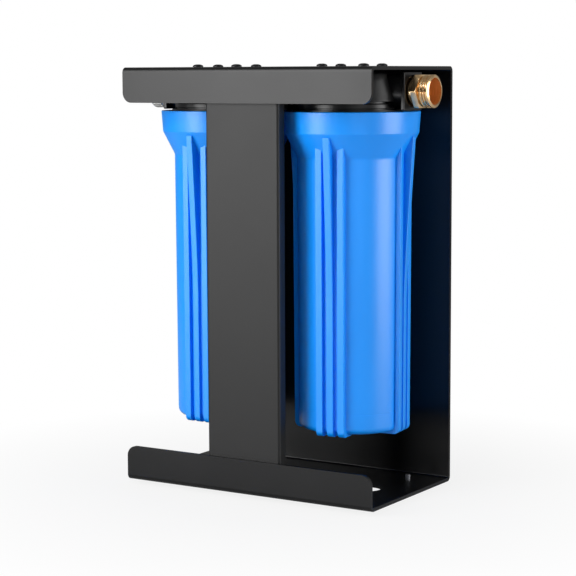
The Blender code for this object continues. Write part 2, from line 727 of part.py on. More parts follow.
def sump(name, side, clocking):
    """A moulded sump: collar, cone and ribbed barrel, hollowed with a ledge, a seat and a spigot."""
    outside = (
        (0, COLLAR_TOP, 0), (COLLAR_RADIUS, COLLAR_TOP, COLLAR_EDGE),
        (COLLAR_RADIUS - COLLAR_DRAFT, COLLAR_BOTTOM, COLLAR_ROUND),
        (BARREL_RADIUS, CONE_BOTTOM, CONE_ROUND),
        (BARREL_RADIUS - BARREL_DRAFT, SUMP_BOTTOM, SUMP_FLOOR_ROUND), (0, SUMP_BOTTOM, 0),
    )
    groove_reach = O_RING_SECTION + O_RING_SIDE_GAP
    groove_out = O_RING_RADIUS + groove_reach
    groove_in = O_RING_RADIUS - groove_reach
    spigot_top = SUMP_SEAT + SPIGOT_REACH
    spigot_bore = SPIGOT_RADIUS - SPIGOT_WALL
    above = COLLAR_TOP + CUT_OVERRUN
    inside = (
        (0, above, 0), (COLLAR_BORE, above, 0), (COLLAR_BORE, LEDGE, 0), (groove_out, LEDGE, 0),
        (groove_out, O_RING_FLOOR, 0), (groove_in, O_RING_FLOOR, 0), (groove_in, LEDGE, 0),
        (BARREL_BORE, LEDGE, 0), (BARREL_BORE - BARREL_DRAFT, SUMP_INSIDE, 0),
        (SEAT_RADIUS, SUMP_INSIDE, 0), (SEAT_RADIUS, SUMP_SEAT, 0), (SPIGOT_RADIUS, SUMP_SEAT, 0),
        (SPIGOT_RADIUS, spigot_top, 0), (spigot_bore, spigot_top, 0),
        (spigot_bore, SUMP_INSIDE, 0), (0, SUMP_INSIDE, 0),
    )
    body = turned(name, outside, SUMP_FACETS, sump_plastic())
    ribs = rib_set(name + "_ribs", clocking)
    cavity = turned(name + "_cavity", inside, BORE_FACETS)
    body.location = (side * HEAD_OFFSET, HEAD_AXIS_Y, 0)
    cavity.location = body.location
    ribs.location = (side * HEAD_OFFSET, HEAD_AXIS_Y, RIB_BOTTOM)
    fuse(body, ribs)
    cut(body, cavity)


def o_ring(name, side):
    centre = (side * HEAD_OFFSET, HEAD_AXIS_Y, O_RING_CENTRE)
    bpy.ops.mesh.primitive_torus_add(
        major_radius=O_RING_RADIUS, minor_radius=O_RING_SECTION, major_segments=BORE_FACETS,
        minor_segments=RING_FACETS, location=centre)
    made = bpy.context.object
    add_part(name, made.data, nitrile()).location = centre
    bpy.data.objects.remove(made, do_unlink=True)


# Cartridges

def sediment_cartridge(side):
    tube = ring("sediment_cartridge", CARTRIDGE_RADIUS, CORE_RADIUS, CARTRIDGE_BOTTOM,
                CARTRIDGE_TOP, CARTRIDGE_FACETS, spun_fibre())
    tube.location = (side * HEAD_OFFSET, HEAD_AXIS_Y, 0)


def end_cap(name, face, up):
    """A shallow cup with a hole in its floor, which is at the face. It opens away from up."""
    floor_back = face - up * END_CAP_WALL
    open_end = face - up * END_CAP_HEIGHT
    wall = CARTRIDGE_RADIUS - END_CAP_WALL
    profile = [
        (CORE_RADIUS, face, 0), (CARTRIDGE_RADIUS, face, 0), (CARTRIDGE_RADIUS, open_end, 0),
        (wall, open_end, 0), (wall, floor_back, 0), (CORE_RADIUS, floor_back, 0),
    ]
    if up < 0:
        profile.reverse()
    return turned(name, profile, CARTRIDGE_FACETS, cap_plastic())


def carbon_cartridge(side):
    """A carbon block in two end caps, with a gasket on each cap."""
    gasket_radius = CORE_RADIUS + GASKET_WIDTH
    low_gasket_top = CARTRIDGE_BOTTOM + GASKET_THICKNESS
    high_gasket_bottom = CARTRIDGE_TOP - GASKET_THICKNESS
    low_face = low_gasket_top + SEAT_GAP
    high_face = high_gasket_bottom - SEAT_GAP
    inset = END_CAP_WALL + SEAT_GAP
    pieces = (
        ring("carbon_bottom_gasket", gasket_radius, CORE_RADIUS, CARTRIDGE_BOTTOM,
             low_gasket_top, CARTRIDGE_FACETS, nitrile()),
        ring("carbon_top_gasket", gasket_radius, CORE_RADIUS, high_gasket_bottom,
             CARTRIDGE_TOP, CARTRIDGE_FACETS, nitrile()),
        ring("carbon_block", CARTRIDGE_RADIUS - inset, CORE_RADIUS, low_face + inset,
             high_face - inset, CARTRIDGE_FACETS, carbon()),
        end_cap("carbon_bottom_cap", low_face, -1),
        end_cap("carbon_top_cap", high_face, 1),
    )
    for piece in pieces:
        piece.location = (side * HEAD_OFFSET, HEAD_AXIS_Y, 0)


# Pipe fittings, each turned about its own axis and then laid along the ports

def hexagon(name, half_width, bottom, top):
    """A hexagonal bar with chamfered ends. The half width is from its axis to a flat."""
    corner = half_width / math.cos(math.pi / 6)
    narrow = half_width - HEX_CHAMFER
    wide = corner + SEAT_GAP
    fall = HEX_CHAMFER_SHARE * (top - bottom)
    shape = bmesh.new()
    place = Matrix.Translation((0, 0, (bottom + top) / 2))
    bmesh.ops.create_cone(shape, cap_ends=True, segments=6, radius1=corner, radius2=corner,
                          depth=top - bottom, matrix=place)
    mesh = bpy.data.meshes.new(name)
    shape.to_mesh(mesh)
    shape.free()
    bar = add_cutter(name, mesh)
    above = top + CUT_OVERRUN
    below = bottom - CUT_OVERRUN
    limit = turned(name + "_chamfer", (
        (0, above, 0), (narrow, above, 0), (narrow, top, 0), (wide, top - fall, 0),
        (wide, bottom + fall, 0), (narrow, bottom, 0), (narrow, below, 0), (0, below, 0),
    ), FITTING_FACETS)
    combine(bar, limit, "INTERSECT")
    return bar, limit


def fitting(name, x, heading, profile, hexagon_sizes, bore, surface):
    """A pipe fitting: a turned body with a hexagon round it and a bore through it."""
    body = turned(name, profile, FITTING_FACETS, surface)
    bar, limit = hexagon(name + "_hexagon", *hexagon_sizes)
    hollow = turned(name + "_bore", bore, FITTING_FACETS)
    for item in (body, bar, limit, hollow):
        along_x(item, x, heading)
    fuse(body, bar)
    cut(body, hollow)


def head_nipple():
    end = NIPPLE_MIDDLE / 2 + PIPE_ENGAGEMENT
    beyond = end + CUT_OVERRUN
    shoulder = NIPPLE_MIDDLE / 2 - SEAT_GAP
    body = ((0, end, 0), (PIPE_RADIUS, end, 0), (PIPE_RADIUS, -end, 0), (0, -end, 0))
    bore = ((0, beyond, 0), (PASSAGE_RADIUS, beyond, 0), (PASSAGE_RADIUS, -beyond, 0), (0, -beyond, 0))
    hexagon_sizes = (PIPE_RADIUS + NIPPLE_HEX_STEP, -shoulder, shoulder)
    fitting("head_nipple", 0, 1, body, hexagon_sizes, bore, brass())


def outlet_adapter():
    hexagon_middle = (OUTLET_STUB + OUTLET_HEX_TOP) / 2
    body = (
        (0, HOSE_MOUTH, 0), (HOSE_THREAD_RADIUS - HOSE_THREAD_CHAMFER, HOSE_MOUTH, 0),
        (HOSE_THREAD_RADIUS, HOSE_MOUTH - HOSE_THREAD_CHAMFER, 0),
        (HOSE_THREAD_RADIUS, HOSE_THREAD_START, 0), (HOSE_NECK_RADIUS, HOSE_THREAD_START, 0),
        (HOSE_NECK_RADIUS, hexagon_middle, 0), (PIPE_RADIUS, hexagon_middle, 0),
        (PIPE_RADIUS, -PIPE_ENGAGEMENT, 0), (0, -PIPE_ENGAGEMENT, 0),
    )
    beyond = HOSE_MOUTH + CUT_OVERRUN
    step = HOSE_MOUTH - HOSE_BORE_DEPTH
    inner_end = -PIPE_ENGAGEMENT - CUT_OVERRUN
    bore = (
        (0, beyond, 0), (HOSE_BORE_RADIUS, beyond, 0), (HOSE_BORE_RADIUS, step, 0),
        (PASSAGE_RADIUS, step, 0), (PASSAGE_RADIUS, inner_end, 0), (0, inner_end, 0),
    )
    hexagon_sizes = (PIPE_RADIUS + OUTLET_HEX_STEP, OUTLET_STUB, OUTLET_HEX_TOP)
    fitting("outlet_adapter", PORT_FACE, 1, body, hexagon_sizes, bore, brass())


def inlet_adapter():
    """The tail on which the hose nut turns: pipe thread, hexagon, tube and end flange."""
    hexagon_middle = (SEAT_GAP + INLET_HEX_TOP) / 2
    body = (
        (0, TAIL_FLANGE_TOP, 0), (TAIL_FLANGE_RADIUS, TAIL_FLANGE_TOP, 0),
        (TAIL_FLANGE_RADIUS, TAIL_FLANGE_START, 0), (TAIL_RADIUS, TAIL_FLANGE_START, 0),
        (TAIL_RADIUS, hexagon_middle, 0), (PIPE_RADIUS, hexagon_middle, 0),
        (PIPE_RADIUS, -PIPE_ENGAGEMENT, 0), (0, -PIPE_ENGAGEMENT, 0),
    )
    bore_radius = TAIL_RADIUS - TAIL_WALL
    beyond = TAIL_FLANGE_TOP + CUT_OVERRUN
    inner_end = -PIPE_ENGAGEMENT - CUT_OVERRUN
    bore = ((0, beyond, 0), (bore_radius, beyond, 0), (bore_radius, inner_end, 0), (0, inner_end, 0))
    hexagon_sizes = (PIPE_RADIUS + INLET_HEX_STEP, SEAT_GAP, INLET_HEX_TOP)
    fitting("inlet_adapter", -PORT_FACE, -1, body, hexagon_sizes, bore, nickel_plated())


def inlet_swivel_nut():
    """The hose nut, caught behind the flange of the tail and free to turn."""
    outer = NUT_BORE + NUT_WALL
    hole = TAIL_RADIUS + TAIL_CLEARANCE
    profile = (
        (NUT_BORE, NUT_MOUTH, 0), (outer - NUT_CHAMFER, NUT_MOUTH, 0),
        (outer, NUT_MOUTH - NUT_CHAMFER, 0), (outer, NUT_START + NUT_CHAMFER, 0),
        (outer - NUT_CHAMFER, NUT_START, 0), (hole, NUT_START, 0), (hole, NUT_SHOULDER, 0),
        (NUT_BORE, NUT_SHOULDER, 0),
    )
    nut = turned("inlet_swivel_nut", profile, FITTING_FACETS, nickel_plated())
    along_x(nut, -PORT_FACE, -1)


def inlet_hose_washer():
    washer = ring("inlet_hose_washer", NUT_BORE - WASHER_SIDE_GAP, TAIL_RADIUS - TAIL_WALL,
                  WASHER_START, WASHER_START + WASHER_THICKNESS, FITTING_FACETS, nitrile())
    along_x(washer, -PORT_FACE, -1)


def finish():
    """Fixes each part's shape and shades it smooth, with its sharp edges kept."""
    view_layer = bpy.context.view_layer
    view_layer.update()
    shapes = [(item, bpy.data.meshes.new_from_object(item.evaluated_get(view_layer.depsgraph)))
              for item in PARTS.objects]
    for item, mesh in shapes:
        item.modifiers.clear()
        item.data = mesh
        mesh.name = item.name
        mesh.shade_smooth()
        mesh.set_sharp_from_angle(angle=SHARP_ANGLE)


def carry_all():
    """Moves every part with an empty, so that the origin comes under the middle of the object."""
    parts = list(PARTS.objects)
    carrier = add_object("carrier", None, PARTS)
    carrier.location = ((NUT_MOUTH - HOSE_MOUTH) / 2, 0, SEAT_GAP + FOOT_HEIGHT)
    for item in parts:
        item.parent = carrier


def build():
    stand_shell()
    front_post()
    feet()
    for word, side, clocking in (("left", -1, LEFT_CLOCKING), ("right", 1, RIGHT_CLOCKING)):
        head(word + "_head", side)
        head_screws(word + "_head_screw", side)
        sump(word + "_sump", side, clocking)
        o_ring(word + "_sump_o_ring", side)
    sediment_cartridge(-1)
    carbon_cartridge(1)
    head_nipple()
    outlet_adapter()
    inlet_adapter()
    inlet_swivel_nut()
    inlet_hose_washer()
    finish()
    carry_all()


build()
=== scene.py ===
"""Looks of the motor-home water filter: bent steel stand, moulded heads and sumps, brass outlet.

Sizes are in millimetres, from the middle of the underside of the stand's floor. A piece becomes
metres when it is made, and moves into the object's own frame when it is dressed.
"""

import json
import math

import bmesh
import bpy
from mathutils import Matrix, Vector


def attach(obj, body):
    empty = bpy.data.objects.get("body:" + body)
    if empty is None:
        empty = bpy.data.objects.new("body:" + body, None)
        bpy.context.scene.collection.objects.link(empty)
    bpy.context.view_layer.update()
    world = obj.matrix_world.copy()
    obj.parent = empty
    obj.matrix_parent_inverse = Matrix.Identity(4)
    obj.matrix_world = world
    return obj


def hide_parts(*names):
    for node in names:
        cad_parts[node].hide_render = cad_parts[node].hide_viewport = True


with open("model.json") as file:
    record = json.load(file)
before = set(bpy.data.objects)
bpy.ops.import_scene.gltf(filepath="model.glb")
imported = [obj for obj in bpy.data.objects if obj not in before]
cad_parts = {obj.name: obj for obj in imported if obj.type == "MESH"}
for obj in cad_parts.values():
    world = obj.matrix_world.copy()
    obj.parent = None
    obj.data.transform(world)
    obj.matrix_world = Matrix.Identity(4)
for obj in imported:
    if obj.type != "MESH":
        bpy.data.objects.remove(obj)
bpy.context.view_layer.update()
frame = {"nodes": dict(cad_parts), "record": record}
RECORD = frame["record"]
BODY_OF = {node: body for body, nodes in RECORD["behaviour"]["bodies"].items() for node in nodes}
SIDES = (("left", -1), ("right", 1))

MM = 0.001
TINY = 0.0001
FULL_TURN = 2 * math.pi
QUARTER_TURN = math.pi / 2
SHIFT = Vector((-1.8, 0, 4.3)) * MM  # from the stand's floor to the object's own frame

# Shading, and the facets of round pieces
SHARP = math.radians(38)
CRISP = math.radians(20)  # for the sumps: keeps the ribs' ends crisp where they run into the cone
ROUND = 96  # plain turned pieces
THREAD_ROUND = 144  # pieces with a large thread
GRIP_ROUND = 576  # 16 for each flute
PORT_ROUND = 64
SMALL_ROUND = 48  # feet, and the ducts in the heads
SCREW_ROUND = 32  # screws, studs and drilled holes
ARC_STEP = math.radians(9)

# Stand, as bent
SHEET = 3.0
HALF_WIDTH = 122.0
HALF_DEPTH = 70.0
STAND_HEIGHT = 358.0
BEND = 4.5
LIP = 30.0
LIP_CORNER = 8.8
LIP_CORNER_STEPS = 14
EDGE_ROUND = 0.9  # the coat runs thick round a cut edge
EDGE_STEPS = 3
OVERRUN = 2.0  # how far a drill passes the sheet
DRAIN_X = 79.0
DRAIN_Y = -3.5
DRAIN_RADIUS = 14.5
FOOT_SPAN = (96.0, 41.0)  # from the floor's middle to a foot

# Front post, a channel
POST_LEFT = -38.8
POST_RIGHT = 33.2
POST_FRONT = -66.7
POST_BACK = -57.2
POST_ENDS = (4.8, 353.2)  # bottom and top
POST_SHEET = 2.5
POST_BEND = 2.2
POST_CREASE = 0.3

# Screws that hold the heads
SCREW_SPAN = (20.0, 15.5)  # from a head's axis to a screw
SCREW_HOLE = 2.7
SCREW_SEAT = 0.3
SCREW_HEAD = 4.6
SCREW_RIM = 0.5
SCREW_DOME = 1.8
SCREW_SHANK = 2.4
SCREW_LENGTH = 12.0
SOCKET_CORNER = 1.73
SOCKET_FLOOR = 1.1
SOCKET_MOUTH = 5.1
SOCKET_TURN = 0.7  # each screw stopped at its own angle

# Heads, and the ports in them
HEAD_X = 62.7  # from the middle of the stand to a head's axis
AXIS_Y = 2.3
PORT_Z = 337.5
PORT_REACH = 57.9  # from a head's axis to the face of a port
PORT_FACE = HEAD_X + PORT_REACH
PORT_BORE = 13.3
PORT_DEPTH = 15.3
PORT_EDGE = 0.8
PORT_EDGE_STEPS = 3
PASSAGE = 9.0
INLET_DEPTH = 33.6
OUTLET_DEPTH = 59.9
DUCT = 8.0
DUCT_BOTTOM = 302.6
FEED = 6.0
FEED_X = 31.27
FEED_BOTTOM = 319.3
SCREW_BORE = (346.0, 356.7)
BOSS = ((-14.5, -15, 13.5), (14.5, -15, 13.5), (14.5, 15, 4), (-14.5, 15, 4))
BOSS_REACH = 56.0
PLATE = ((-15.2, -15.7, 1.3), (15.2, -15.7, 1.3), (15.2, 15.7, 1.3), (-15.2, 15.7, 1.3))
PLATE_START = 54.2
PORT_BARS = (
    (BOSS, -BOSS_REACH, BOSS_REACH),
    (PLATE, -PORT_REACH, -PLATE_START),
    (PLATE, PLATE_START, PORT_REACH),
)

# Sumps and their ribs
CLOCKING = {"left": -2.4, "right": 7.4}  # where the rib groups point, in degrees
RIB_GROUPS = 4
RIB_WIDTH = 5.9
RIB_SPACING = 9.6
RIB_BOTTOM = 52.0
RIB_FOOT = 29.3
RIB_INSIDE = 44.0
RIB_TIP = 47.8
RIB_DRAFT = 1.3
RIB_NOSE = 5.0
RIB_TOP = 245.0
RIB_EDGE = 0.7
RIB_EDGE_STEPS = 5
GUSSET_TOP = 248.4
GUSSET_DEPTH = 7.0
GUSSET_LENGTH = 135.0
GUSSET_CURVE = 1.25
GUSSET_STEPS = 12
SEAL_MIDDLE = (46.6, 296.1)
SEAL_RADIUS = 1.9
SEAL_STEPS = 16

# Fittings
HEXAGON_INSET = 0.4  # the flat end is this much inside the flats
RIDGE_EASE = 0.2
OUTLET_HEXAGON = 13.5
PIPE_HEXAGON = 14.2
BORE_EDGE = 11.1  # the bore's surface is inside this radius
GRIP_RADIUS = 14.7
GRIP_DEPTH = 0.45
GRIP_FLUTES = 36

# Threads: crest radius, depth and pitch. A negative depth cuts outwards
HEAD_THREAD = (50.4, 1.4, 6.0)
SUMP_THREAD = (51.2, -1.3, 6.0)
HOSE_THREAD = (13.5, 1.2, 2.2)
NUT_THREAD = (12.9, -0.3, 2.2)
PIPE_THREAD = (13.0, 0.7, 1.8)
SCREW_THREAD = (SCREW_SHANK, 0.22, 0.8)
STUD_THREAD = (2.4, 0.25, 0.8)
PITCH_STEPS = 8
NUT_PITCH_STEPS = 10
HOSE_PITCH_STEPS = 12

# Stage, in metres. What is seen directly is plain white, and a reflection shows a share of that
WHITE = (1, 1, 1, 1)
AMBIENT = 0.05
ROOM_REFLECTED = 0.2
FLOOR_REFLECTED = 0.1
FLOOR_SIZE = 12
FLOOR_FADE = (0.13, 0.4)
# near the object the floor shows less white and more of its own lit grey: painted shade round the
# object
FLOOR_WHITE = (0.85, 1.0)

# Soft boxes: azimuth and elevation in degrees, distance, width and height in metres, and watts
SOFT_BOXES = {
    "left_soft_box": (-28, 20, 1.5, 0.7, 1.38, 24.5),
    "side_soft_box": (-58, 16, 1.4, 0.18, 0.8, 1.5),
    "right_soft_box": (100, 4, 1.3, 0.75, 1.2, 15.5),
    "fill_soft_box": (44, 12, 1.6, 0.95, 1.0, 2.6),
    "top_soft_box": (10, 54, 1.6, 0.4, 0.9, 3.5),
    "rim_soft_box": (150, 15, 1.5, 0.8, 0.8, 0.35),
}
LIGHTS_AIM = Vector((0, 0, 0.18))

# Camera, fitted to the stand's edges in the photograph: metres, and millimetres for the lens
CAMERA_PLACE = Vector((0.8367, -1.3369, 0.3520))
CAMERA_FORWARD = Vector((-0.52683, 0.84208, -0.11554))
CAMERA_ROLL = math.radians(-0.22)
CAMERA_SENSOR = 36.0
CAMERA_LENS = 115.04


# Surfaces

def linear(colour):
    """An sRGB colour written as #rrggbb, as linear red, green and blue."""
    channels = [int(colour[start:start + 2], 16) / 255 for start in (1, 3, 5)]
    return [c / 12.92 if c <= 0.04045 else ((c + 0.055) / 1.055) ** 2.4 for c in channels]


def add_node(tree, kind, settings=None, links=None):
    """Adds a node, sets its properties and inputs, and links outputs to its inputs."""
    node = tree.nodes.new(kind)
    for name, value in (settings or {}).items():
        if isinstance(name, int) or name in node.inputs:
            node.inputs[name].default_value = value
        else:
            setattr(node, name, value)
    for name, output in (links or {}).items():
        tree.links.new(output, node.inputs[name])
    return node


def surface(name, colour, roughness, metallic=0.0, specular=0.5):
    """A material and its shader node, with plain values on the shader's own sockets."""
    material = bpy.data.materials.new(name)
    material.use_nodes = True
    material.diffuse_color = (*linear(colour), 1)
    shader = material.node_tree.nodes["Principled BSDF"]
    shader.inputs["Base Color"].default_value = (*linear(colour), 1)
    shader.inputs["Roughness"].default_value = roughness
    shader.inputs["Metallic"].default_value = metallic
    shader.inputs["Specular IOR Level"].default_value = specular
    return material, shader


def grain(shader, size_mm, detail, stretch=(1, 1, 1)):
    """Noise in the object's own frame, with features of the given size."""
    tree = shader.id_data
    place = add_node(tree, "ShaderNodeTexCoord")
    fit = add_node(tree, "ShaderNodeMapping", {"Scale": stretch},
                   {"Vector": place.outputs["Object"]})
    noise = add_node(tree, "ShaderNodeTexNoise",
                     {"Scale": 1 / (size_mm * MM), "Detail": detail},
                     {"Vector": fit.outputs["Vector"]})
    return noise.outputs["Fac"]


def roughen(shader, texture, low, high):
    """Roughness that follows a texture between two values."""
    tree = shader.id_data
    span = add_node(tree, "ShaderNodeMapRange", {"To Min": low, "To Max": high},
                    {"Value": texture})
    tree.links.new(span.outputs["Result"], shader.inputs["Roughness"])


def tint(shader, texture, first, second, start=0.3, end=0.7):
    """Colour that follows a texture between two tones."""
    tree = shader.id_data
    tones = add_node(tree, "ShaderNodeValToRGB", None, {"Fac": texture})
    for stop, position, colour in zip(tones.color_ramp.elements, (start, end), (first, second)):
        stop.position = position
        stop.color = (*linear(colour), 1)
    tree.links.new(tones.outputs["Color"], shader.inputs["Base Color"])


def emboss(shader, texture, height_mm):
    """Bump of a real height from a texture."""
    tree = shader.id_data
    bump = add_node(tree, "ShaderNodeBump", {"Distance": height_mm * MM}, {"Height": texture})
    tree.links.new(bump.outputs["Normal"], shader.inputs["Normal"])


def powder_coated_steel():
    """Polyester powder baked on steel: a deep black satin skin with a faint orange peel."""
    material, shader = surface("powder_coated_steel", "#030304", 0.36, specular=0.35)
    patches = grain(shader, 45.0, 2.0)
    roughen(shader, patches, 0.33, 0.39)
    tint(shader, patches, "#020203", "#050506")
    emboss(shader, grain(shader, 1.6, 2.0), 0.02)
    return material


def powder_coated_post():
    """The post's powder coat: duller and a touch greyer than the sheet's."""
    material, shader = surface("powder_coated_post", "#080808", 0.49, specular=0.4)
    patches = grain(shader, 60.0, 2.0)
    roughen(shader, patches, 0.46, 0.52)
    tint(shader, patches, "#070707", "#0a0a0a")
    emboss(shader, grain(shader, 1.3, 2.0), 0.02)
    return material


def moulded_black_polypropylene():
    """Glass-filled black polypropylene, satin from the mould: its edges catch a soft light."""
    material, shader = surface("moulded_black_polypropylene", "#050506", 0.31, specular=0.42)
    flow = grain(shader, 14.0, 3.0, (1, 1, 0.4))
    roughen(shader, flow, 0.27, 0.35)
    tint(shader, flow, "#040405", "#070709")
    emboss(shader, grain(shader, 0.8, 2.0), 0.006)
    return material


def moulded_blue_polypropylene():
    """Blue polypropylene, slightly waxy: broad soft highlights, broken by long flow marks."""
    material, shader = surface("moulded_blue_polypropylene", "#0091fa", 0.34, specular=0.65)
    flow = grain(shader, 30.0, 2.0, (1, 1, 0.25))
    roughen(shader, flow, 0.31, 0.37)
    tint(shader, flow, "#008ef6", "#0094fe")
    emboss(shader, grain(shader, 1.2, 2.0), 0.005)
    return material


def turned_brass():
    """Free-cutting brass, cut on a lathe and polished: pale highlights, fine rings round it."""
    material, shader = surface("turned_brass", "#ecc998", 0.2, 1.0)
    stain = grain(shader, 4.0, 3.0)
    roughen(shader, stain, 0.15, 0.25)
    tint(shader, stain, "#e3bc88", "#f5d6a8")
    emboss(shader, grain(shader, 0.5, 1.0, (1, 0.04, 0.04)), 0.006)
    return material


def bore_brass_painted_bounce():
    """The bore of the outlet, left as the drill cut it: dull, and deep orange, which is painted
    reflection: the colour of light bounced between brass walls.
    """
    material, shader = surface("bore_brass_painted_bounce", "#e8a258", 0.42, 0.4)
    marks = grain(shader, 0.6, 2.0, (1, 0.05, 0.05))
    roughen(shader, marks, 0.36, 0.48)
    tint(shader, marks, "#de964c", "#f2ae66")
    return material


def nickel_plated_brass():
    """Brass under dull nickel: a grey metal with blurred reflections."""
    material, shader = surface("nickel_plated_brass", "#9c9c9a", 0.4, 1.0)
    stain = grain(shader, 4.0, 3.0)
    roughen(shader, stain, 0.34, 0.46)
    tint(shader, stain, "#929290", "#a6a6a4")
    return material


def blackened_steel():
    """Alloy steel with a black oxide finish, lightly oiled: dark, with a small glint."""
    material, shader = surface("blackened_steel", "#1c1c1e", 0.3, 0.7)
    stain = grain(shader, 1.5, 3.0)
    roughen(shader, stain, 0.24, 0.4)
    tint(shader, stain, "#171719", "#242426")
    return material


def zinc_plated_steel():
    """Zinc plating gone slightly cloudy: a flat mid grey metal."""
    material, shader = surface("zinc_plated_steel", "#74767a", 0.4, 1.0)
    cloud = grain(shader, 1.2, 3.0)
    roughen(shader, cloud, 0.34, 0.48)
    tint(shader, cloud, "#696b6f", "#808286")
    return material


def moulded_rubber():
    """Black rubber with a fine grain: matt, and hardly any glint."""
    material, shader = surface("moulded_rubber", "#17171a", 0.75)
    skin = grain(shader, 0.5, 3.0)
    tint(shader, skin, "#141416", "#1d1d20")
    emboss(shader, skin, 0.03)
    return material


def spun_polypropylene():
    """White melt-blown fibre, laid crosswise round the core: a soft, matt cloth."""
    material, shader = surface("spun_polypropylene", "#f0efe8", 0.95)
    cross = grain(shader, 3.0, 2.0, (0.5, 0.5, 1))
    tint(shader, cross, "#e6e4da", "#f6f5ef")
    emboss(shader, grain(shader, 0.5, 4.0, (1, 1, 0.3)), 0.3)
    return material


def pressed_carbon():
    """Sintered carbon powder: dull black with open pores."""
    material, shader = surface("pressed_carbon", "#1a1a1b", 0.95)
    cells = add_node(shader.id_data, "ShaderNodeTexVoronoi", {"Scale": 1 / (0.9 * MM)})
    pores = cells.outputs["Distance"]
    tint(shader, pores, "#101011", "#232325", 0.1, 0.6)
    emboss(shader, pores, 0.12)
    return material


def moulded_white_polypropylene():
    """Natural polypropylene: creamy white with a soft sheen."""
    material, shader = surface("moulded_white_polypropylene", "#e4e3dc", 0.45)
    flow = grain(shader, 9.0, 2.0)
    roughen(shader, flow, 0.4, 0.52)
    tint(shader, flow, "#dcdbd3", "#eae9e3")
    return material


# Shapes, in millimetres

def rounded(corners):
    """Outline points from (x, y, radius) corners, each corner with a radius becoming an arc."""
    points = []
    for index, (x, y, radius) in enumerate(corners):
        corner = Vector((x, y))
        if not radius:
            points.append(corner)
            continue
        before = (Vector(corners[index - 1][:2]) - corner).normalized()
        after = (Vector(corners[(index + 1) % len(corners)][:2]) - corner).normalized()
        half = before.angle(after) / 2
        centre = corner + (before + after).normalized() * radius / math.sin(half)
        start = corner + before * radius / math.tan(half) - centre
        end = corner + after * radius / math.tan(half) - centre
        turn = math.atan2(start.cross(end), start.dot(end))
        steps = max(2, math.ceil(abs(turn) / ARC_STEP))
        for number in range(steps + 1):
            points.append(centre + Matrix.Rotation(turn * number / steps, 2) @ start)
    return points


def rows_of(corners):
    """The rows of a turned piece from (radius, height, corner radius) corners."""
    return [(point.x, point.y) for point in rounded(corners)]


def turned(rows, segments=ROUND):
    """A turned solid from (radius, height) rows that run down the outer side.

    A row's radius is a length, or a function from an angle and a height to a length. Its height
    is a length, or a function from an angle. Rows that start and end on the axis make a solid, and
    others close into a ring.
    """
    shape = bmesh.new()
    rings = []
    for radius, height in rows:
        if not callable(radius) and radius < TINY:
            rings.append([shape.verts.new((0, 0, height))])
            continue
        ring = []
        for step in range(segments):
            angle = FULL_TURN * step / segments
            level = height(angle) if callable(height) else height
            reach = radius(angle, level) if callable(radius) else radius
            point = (reach * math.cos(angle), reach * math.sin(angle), level)
            ring.append(shape.verts.new(point))
        rings.append(ring)
    if len(rings[0]) > 1 and len(rings[-1]) > 1:
        rings.append(rings[0])
    for upper, lower in zip(rings, rings[1:]):
        if len(upper) == 1 and len(lower) == 1:
            continue
        for step in range(segments):
            after = (step + 1) % segments
            corners = [upper[step % len(upper)], lower[step % len(lower)],
                       lower[after % len(lower)], upper[after % len(upper)]]
            shape.faces.new(list(dict.fromkeys(corners)))
    bmesh.ops.recalc_face_normals(shape, faces=shape.faces)
    return shape


def thread(crest, depth, pitch, low, high):
    """The radius of a thread that fades out at both ends.

    Its crest and its root are each a third of the pitch wide.
    """
    def reach(angle, height):
        turn = (height / pitch - angle / FULL_TURN) % 1
        flank = min(1, max(0, 3 * abs(2 * turn - 1) - 1))
        fade = min(1, max(0, (height - low) / pitch), max(0, (high - height) / pitch))
        return crest - depth * flank * fade
    return reach


def threaded_rows(form, high, low, pitch_steps=PITCH_STEPS):
    """Rows down a thread of the given form."""
    crest, depth, pitch = form
    count = math.ceil((high - low) / pitch * pitch_steps)
    reach = thread(crest, depth, pitch, low, high)
    return [(reach, high + (low - high) * step / count) for step in range(count + 1)]


def hexagon_rows(half_width, bottom, top, bottom_chamfer, top_chamfer):
    """Rows down a hexagonal bar, its ends chamfered on a lathe and its ridges eased."""
    inner = half_width - HEXAGON_INSET
    corner = half_width / math.cos(math.pi / 6)

    def side(angle, _height=0.0):
        flat = (angle + math.pi / 6) % (math.pi / 3) - math.pi / 6
        return min(half_width / math.cos(flat), corner - RIDGE_EASE)

    def share(angle):
        return (side(angle) - inner) / (corner - inner)

    def upper(angle):
        return top - top_chamfer * share(angle)

    def lower(angle):
        return bottom + bottom_chamfer * share(angle)

    return [(inner, top), (side, upper), (side, lower), (inner, bottom)]


def slab(outline, low, high):
    """A prism of an outline of points, between two heights."""
    shape = bmesh.new()
    lower = [shape.verts.new((x, y, low)) for x, y in outline]
    upper = [shape.verts.new((x, y, high)) for x, y in outline]
    shape.faces.new(lower)
    shape.faces.new(list(reversed(upper)))
    count = len(outline)
    for index in range(count):
        after = (index + 1) % count
        shape.faces.new((lower[index], lower[after], upper[after], upper[index]))
    bmesh.ops.recalc_face_normals(shape, faces=shape.faces)
    return shape


def rods(places, radius, low, high, segments=SCREW_ROUND):
    """Upright round rods."""
    shape = bmesh.new()
    for x, y in places:
        bmesh.ops.create_cone(shape, cap_ends=True, segments=segments, radius1=radius,
                              radius2=radius, depth=high - low,
                              matrix=Matrix.Translation((x, y, (low + high) / 2)))
    return shape


def eased(shape, width, steps):
    """Rounds the sharp edges of a fresh prism."""
    edges = [edge for edge in shape.edges if edge.calc_face_angle(0) > SHARP]
    bmesh.ops.bevel(shape, geom=edges, offset=width, segments=steps, profile=0.5,
                    affect="EDGES")
    return shape


def placed(shape, *steps):
    """The shape after each matrix in turn."""
    for step in steps:
        bmesh.ops.transform(shape, matrix=step, verts=shape.verts)
    return shape


def at(x, y, z=0.0):
    """Moves a shape to a place."""
    return Matrix.Translation((x, y, z))


